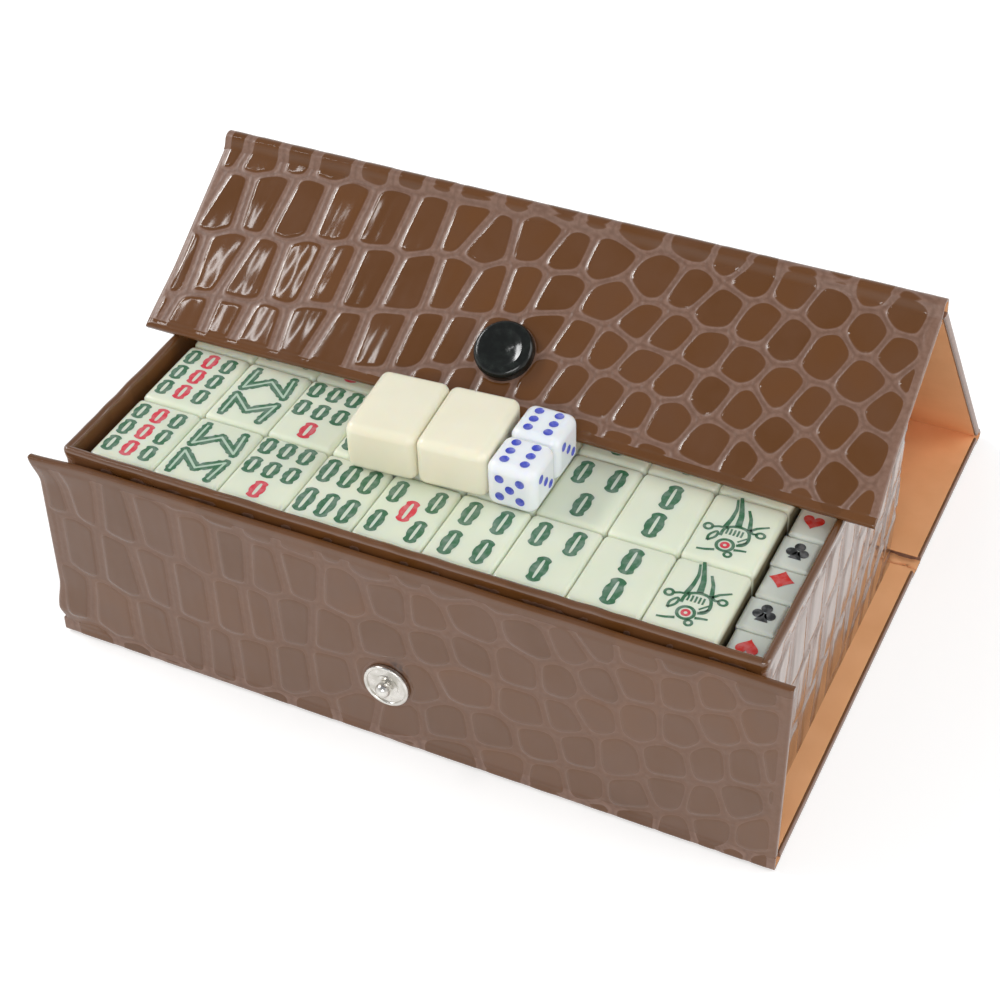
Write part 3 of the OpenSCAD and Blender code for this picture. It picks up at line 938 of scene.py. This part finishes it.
def spline(points, count):
    """A smooth line through a few points in mm."""
    points = np.array(points, float)
    steps = np.hypot(*np.diff(points, axis=0).T)
    at = np.concatenate([[0], np.cumsum(steps)])
    fine = np.linspace(0, at[-1], count)
    line = np.column_stack([np.interp(fine, at, points[:, k]) for k in (0, 1)])
    for _ in range(3):
        line[1:-1] = (line[:-2] + 2 * line[1:-1] + line[2:]) / 4
    return line


def circle(count):
    """Cosines and sines of even steps round a circle."""
    turn = np.linspace(0, 2 * math.pi, count, endpoint=False)
    return np.cos(turn), np.sin(turn)


def squared(wave, power):
    """A sine or cosine that makes a circle squarer, or hollow above 1."""
    return np.sign(wave) * np.abs(wave) ** power


def stick(cx, cy, w, h, rim):
    """One bamboo stick: a lobed outline round a long slot."""
    c, s = circle(60)
    lobes = 1 + 0.13 * np.cos(2 * math.pi * 1.5 * s)
    outer = np.column_stack([w / 2 * lobes * squared(c, 0.62), h / 2 * squared(s, 0.62)])
    inner = np.column_stack([(w / 2 - rim) * squared(c, 0.7),
                             (h / 2 - 0.7 * rim) * squared(s, 0.7)])
    return closed_band("stick", outer + [cx, cy], inner + [cx, cy])


def joined(pieces, name, finish):
    """One solid from flat pieces, filled with paint below their plane."""
    whole = join(pieces, name)
    point_out(whole)
    for face in whole.data.polygons:
        if face.normal.z < 0:
            face.flip()
    thicken(whole, 0.12, -1)
    point_out(whole)
    whole.data.materials.append(finish.owner)
    return whole


# Centre, width, height and rim of each stick, by the column of its tile.
sticks = {0: [(x, y, 2.9, 4.9, 1.05) for x in (-4.7, -0.3, 4.1) for y in (-5.2, 0.4, 6)],
          2: [(x, y, 3.1, 5.1, 1.12) for x in (-4.8, -0.4, 4.1) for y in (0.3, 6.6)]
          + [(0, -5.9, 3.0, 5.2, 1.1)],
          3: [(x, y, 3.2, 7.3, 1.2) for x in (-4.8, -0.1, 4.5) for y in (-4.6, 4.8)],
          4: [(x, y, 2.9, 6.6, 1.12) for x in (-4.3, 4.3) for y in (-4.6, 4.6)]
          + [(0.2, 0.2, 3.0, 6.4, 1.12)],
          5: [(x, y, 3.1, 7.2, 1.22) for x in (-3.4, 3.4) for y in (-4.5, 4.5)],
          6: [(x, 4.6, 3.1, 7.2, 1.22) for x in (-3.6, 3.6)] + [(0.2, -4.5, 3.1, 7.2, 1.22)],
          7: [(0.2, y, 3.3, 7.5, 1.32) for y in (-4.4, 4.4)]}
red_sticks = {(0, 3), (0, 4), (0, 5), (2, 6), (4, 4)}
green, red, pale = [], [], []
for column, signs in sticks.items():
    for index, (x, y, w, h, rim) in enumerate(signs):
        shape = stick(centre_x(column) + x, y, w, h, rim)
        (red if (column, index) in red_sticks else green).append(shape)


def raised(piece, height):
    write_points(piece, read_points(piece) + np.array([0, 0, height]) * MM)
    return piece


# Each bar of a zigzag lies a hair above the one that it overlaps.
layer = 0.004
zigzag = [(-4.4, -7.4), (-4.5, -1.3), (0.2, -5.2), (5.1, -1.5), (4.4, -7.2)]
for side in (1, -1):
    corners = np.array(zigzag) * [1, side] + [centre_x(1), 0]
    for index in range(4):
        start, end = corners[index], corners[index + 1]
        reach = math.dist(start, end)
        along = (end - start) / reach
        c, s = circle(60)
        run = (reach / 2 + 1.1) * squared(c, 0.7)
        off = (1.12 + 0.16 * np.sin(run * 4.2)) * squared(s, 0.5)
        bar = filled("zigzag", (start + end) / 2 + np.outer(run, along)
                     + np.outer(off, [-along[1], along[0]]))
        green.append(raised(bar, layer * index))
        line = np.linspace(start - 0.15 * along, end + 0.15 * along, 6)
        line_band = open_band("zigzag_line", line, np.full(6, 0.5))
        pale.append(raised(line_band, layer * index))

# The bird's strokes: points from its middle, and widths at both ends.
bird_x = centre_x(8)
strokes = [([(-2.7, 8.9), (-1.9, 6.2), (-1.9, 3.4), (-2.3, 0.5)], 0.35, 0.75),
           ([(-2.2, 9.8), (-1.2, 7.0), (-0.4, 4.6), (0.0, 1.6)], 0.5, 1.0),
           ([(0.4, 6.8), (1.6, 4.4), (2.4, 1.3)], 0.4, 0.7),
           ([(-4.4, -0.2), (-3.4, 0.3), (-2.4, 0.4)], 0.42, 0.42),
           ([(2.5, 1.3), (3.5, 2.5), (5.6, 3.7)], 0.5, 0.35),
           ([(2.5, 1.3), (3.3, 0.7), (4.0, 0.9)], 0.45, 0.4),
           ([(-4.2, -4.2), (-4.4, -2.6), (-3.2, -0.9), (-2.8, -1.6), (-3.0, -2.9),
             (-4.2, -4.2)], 0.4, 0.4),
           ([(-2.3, -2.0), (-2.4, 0.3), (-0.6, 1.5), (1.2, 1.6), (2.5, 1.1),
             (3.3, -1.4), (2.9, -3.3), (1.5, -3.6)], 0.5, 0.5),
           ([(-5.2, -7.1), (-3.6, -6.8), (-1.9, -6.2)], 0.35, 0.5),
           ([(1.5, -5.0), (2.6, -4.7), (3.9, -4.5)], 0.5, 0.35),
           ([(1.4, -2.6), (2.0, -1.9), (2.8, -1.0)], 0.3, 0.3),
           ([(1.8, -3.2), (2.5, -2.7), (3.1, -2.0)], 0.3, 0.3)]
strokes += [([(x, -1.2), (x + 0.02, -0.4), (x - 0.05, 0.5)], 0.3, 0.3)
            for x in (-1.5, -0.75, 0.0, 0.75, 1.5)]
for points, thin, thick in strokes:
    line = spline(np.array(points) + [bird_x, 0], 24)
    green.append(open_band("stroke", line, 1.35 * np.linspace(thin, thick, 24)))


def ring(cx, cy, outer_r, inner_r, squash=1.0):
    round_line = np.column_stack(circle(28)) * [1, squash]
    return closed_band("ring", round_line * outer_r + [cx, cy],
                       round_line * inner_r + [cx, cy])


green += [ring(bird_x - 0.5, -4.3, 1.95, 1.3), ring(bird_x - 5.3, -0.4, 1.1, 0.5),
          ring(bird_x + 4.8, 0.8, 1.1, 0.5, 0.9), ring(bird_x + 0.9, -6.6, 0.95, 0.4)]
red.append(ring(bird_x - 0.5, -4.3, 0.95, 0.35))
for pieces, name, paint, proud in ((green, "green_signs", green_paint, 0.02),
                                   (red, "red_signs", red_paint, 0.02),
                                   (pale, "pale_lines", pale_line, 0.035)):
    pattern = joined(pieces, name, paint)
    signs = copies(pattern, [(0, y, tiles_top + proud) for y in row_y], name)
    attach(signs, "tray")


# ---- Blank tiles ---------------------------------------------------------
# Two spare tiles without a mark, warmer in colour, lying on the set.
blank_resin = resin("blank_resin", (0.83, 0.79, 0.61), (0.87, 0.83, 0.66))
blank_r, blank_turn = 1.9, math.radians(4)
for node, body in (("left_blank_tile", "left_blank"),
                   ("right_blank_tile", "right_blank")):
    low, high = (np.array(corner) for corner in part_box(node))
    blank = rounded_block(node.replace("_tile", "_spare"),
                          (tile_w, tile_d, tile_h), blank_r, 6)
    x, y, z = read_points(blank).T
    c, s = math.cos(blank_turn), math.sin(blank_turn)
    write_points(blank, np.column_stack([c * x - s * y, s * x + c * y, z])
                 + (low + high) / 2)
    blank.data.materials.append(blank_resin.owner)
    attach(blank, body)
    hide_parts(node)


# ---- Suit blocks ---------------------------------------------------------
# Small white blocks with card suits, packed in the narrow slot.
# Their resin is greyer than white: painted shade of the narrow slot they sit in.
shaded_block_resin = resin("shaded_block_resin", (0.6, 0.63, 0.56), (0.7, 0.72, 0.64))
dress(["suit_blocks_top", "suit_blocks_below"], shaded_block_resin)


def heart(cx, cy, size, side):
    t = np.linspace(0, 2 * math.pi, 40, endpoint=False)
    x = 16 * np.sin(t) ** 3
    y = 13 * np.cos(t) - 5 * np.cos(2 * t) - 2 * np.cos(3 * t) - np.cos(4 * t)
    return filled("heart", np.column_stack([x, y * side]) * size / 32 + [cx, cy])


def disc(cx, cy, r):
    return filled("lobe", np.column_stack(circle(20)) * r + [cx, cy])


def club(cx, cy, size):
    r = 0.25 * size
    foot = [(cx - 0.07 * size, cy), (cx - 0.3 * size, cy - 0.52 * size),
            (cx + 0.3 * size, cy - 0.52 * size), (cx + 0.07 * size, cy)]
    return [disc(cx, cy + 0.3 * size, r), disc(cx - 0.27 * size, cy - 0.1 * size, r),
            disc(cx + 0.27 * size, cy - 0.1 * size, r), filled("foot", foot)]


def diamond(cx, cy, w, h):
    c, s = circle(40)
    return filled("diamond", np.column_stack([w / 2 * squared(c, 2.3) + cx,
                                              h / 2 * squared(s, 2.3) + cy]))


block_y = [-41.44 + (j + 0.5) * 9.209 for j in range(9)]
reds = [heart(69.1, block_y[0] + 0.2, 4.3, -1), diamond(68.7, block_y[2] + 1.2, 5.0, 4.8),
        heart(68.8, block_y[4] + 0.6, 4.2, 1), diamond(69.0, block_y[6], 4.6, 4.8),
        heart(69.0, block_y[8], 4.2, -1)]
blacks = [part for j in (1, 3, 5, 7) for part in club(68.9, block_y[j] + 0.6, 4.3)]
black_paint = paint_finish("black_paint", (0.02, 0.022, 0.022))
suit_red = paint_finish("suit_red", (0.62, 0.02, 0.012))
blocks_top, proud = 45.7, 0.08
for pieces, name, paint in ((reds, "red_suits", suit_red),
                            (blacks, "black_suits", black_paint)):
    signs = copies(joined(pieces, name, paint), [(0, 0, blocks_top + proud)], name)
    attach(signs, "tray")


# ---- Dice ----------------------------------------------------------------
# White plastic dice with rounded corners and blue painted pips.
dice_white = resin("dice_white", (0.8, 0.84, 0.86), (0.86, 0.88, 0.9))
blue_paint = paint_finish("blue_paint", (0.05, 0.075, 0.52))
die_size = 10.6
pip_pitch = 2.7
pip_depth = 0.35
ball_r = 1.604
two = [(-0.8, -0.8), (0.8, 0.8)]
three = two + [(0, 0)]
four = [(x, y) for x in (-0.8, 0.8) for y in (-0.8, 0.8)]
five = four + [(0, 0)]
six = [(x, y) for x in (-0.8, 0.8) for y in (-1, 0, 1)]
# pips of each face, and the turns about X and Y that bring it from the top
faces = [(six, 0, 0), ([(0, 0)], 180, 0), (five, 90, 0), (two, -90, 0),
         (three, 0, 90), (four, 0, -90)]


def on_all_faces(pattern, name):
    """The pattern at every pip of a die, as one piece."""
    placed = []
    for marks, about_x, about_y in faces:
        for mx, my in marks:
            copy = own_copy(pattern)
            x, y, z = (read_points(copy) + np.array([mx, my, 0]) * pip_pitch * MM).T
            c, s = math.cos(math.radians(about_x)), math.sin(math.radians(about_x))
            y, z = c * y - s * z, s * y + c * z
            c, s = math.cos(math.radians(about_y)), math.sin(math.radians(about_y))
            x, z = c * x + s * z, -s * x + c * z
            write_points(copy, np.column_stack([x, y, z]))
            placed.append(copy)
    bpy.data.objects.remove(pattern)
    return join(placed, name)


pip_z = (die_size / 2 + ball_r - pip_depth) * MM
bpy.ops.mesh.primitive_uv_sphere_add(segments=24, ring_count=24, radius=ball_r * MM)
ball = bpy.context.object
write_points(ball, read_points(ball) + np.array([0, 0, pip_z]))
balls = on_all_faces(ball, "balls")
bpy.ops.mesh.primitive_uv_sphere_add(segments=24, ring_count=24,
                                     radius=(ball_r - 0.012) * MM)
pip = bpy.context.object
edit(bpy.ops.mesh.bisect, plane_co=(0, 0, (pip_depth + 0.002 - ball_r) * MM),
     plane_no=(0, 0, 1), clear_outer=True)
thicken(pip, 0.03, 0)
write_points(pip, read_points(pip) + np.array([0, 0, pip_z]))
pip.data.materials.append(blue_paint.owner)
die_pips = on_all_faces(pip, "near_die_pips")
point_out(die_pips)
die = rounded_block("near_die_block", (die_size, die_size, die_size), 2.1, 8)
cut = die.modifiers.new("dents", "BOOLEAN")
cut.operation = "DIFFERENCE"
cut.object = balls
use_only(die)
bpy.ops.object.modifier_apply(modifier="dents")
bpy.data.objects.remove(balls)
smooth_faces(35)
die.data.materials.append(dice_white.owner)
far_die, far_pips = own_copy(die), own_copy(die_pips)
far_die.name, far_pips.name = "far_die_block", "far_die_pips"
for block, pips, node, body, forward in (
        (die, die_pips, "front_die", "near_die", 0.45),
        (far_die, far_pips, "back_die", "far_die", -0.15)):
    low, high = (np.array(corner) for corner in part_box(node))
    middle = (low + high) / 2
    middle[1] -= forward * MM
    middle[2] = low[2] + die_size / 2 * MM
    for piece in (block, pips):
        write_points(piece, read_points(piece) + middle)
        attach(piece, body)
    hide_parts(node)
